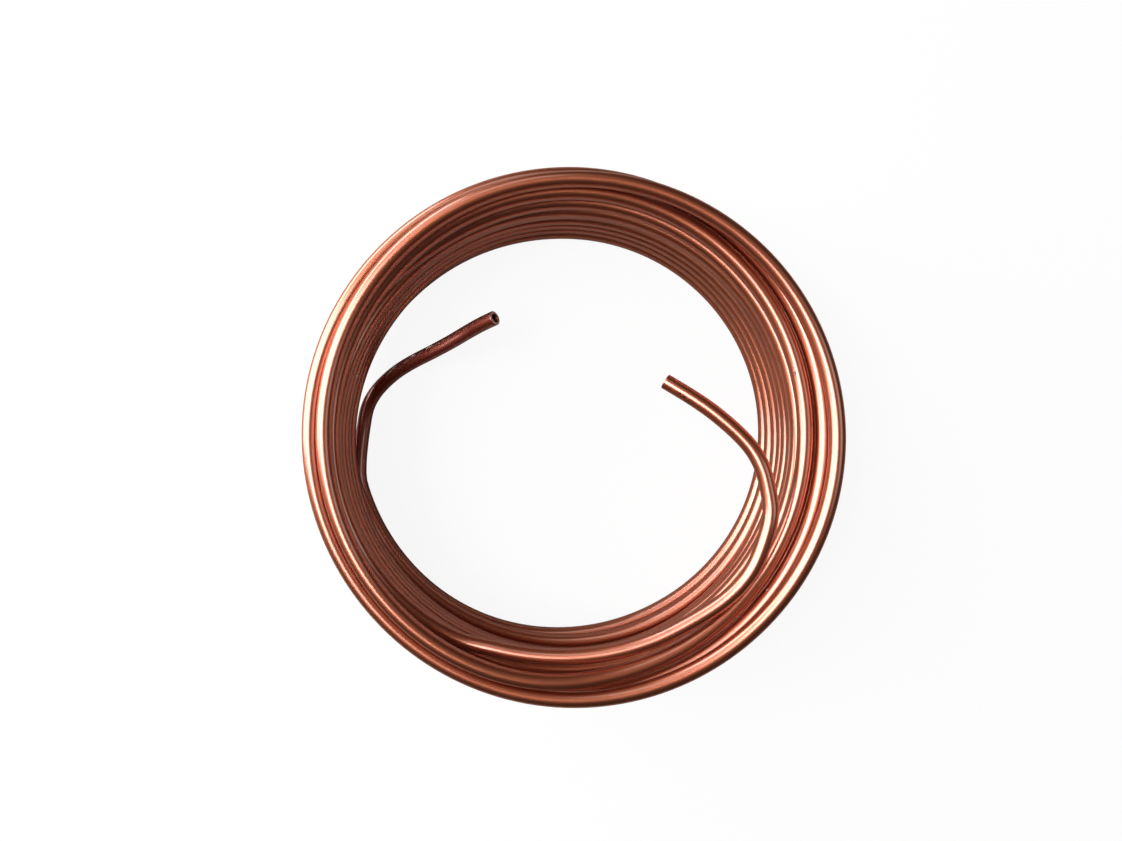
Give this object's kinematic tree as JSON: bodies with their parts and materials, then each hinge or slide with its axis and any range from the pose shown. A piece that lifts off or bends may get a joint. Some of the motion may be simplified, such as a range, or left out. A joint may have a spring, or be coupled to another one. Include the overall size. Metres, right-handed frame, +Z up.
{
  "type": "copper tube coil",
  "caption": "Loose coil of small soft copper tube, wound in stacked turns with both cut ends bent in across the eye.",
  "frame": {"origin": "under the middle of the coil's outline, at the floor that its lowest turn rests on", "axes": "+Z up along the coil's axis; the upper free end crosses the eye from the +X side, the lower free end from the -X side"},
  "size_m": [0.1618, 0.1624, 0.0492],
  "materials": {
    "copper": "bright drawn copper with a light brown tarnish"
  },
  "bodies": {
    "root": {"copper_tube": "copper"}
  },
  "joints": []
}
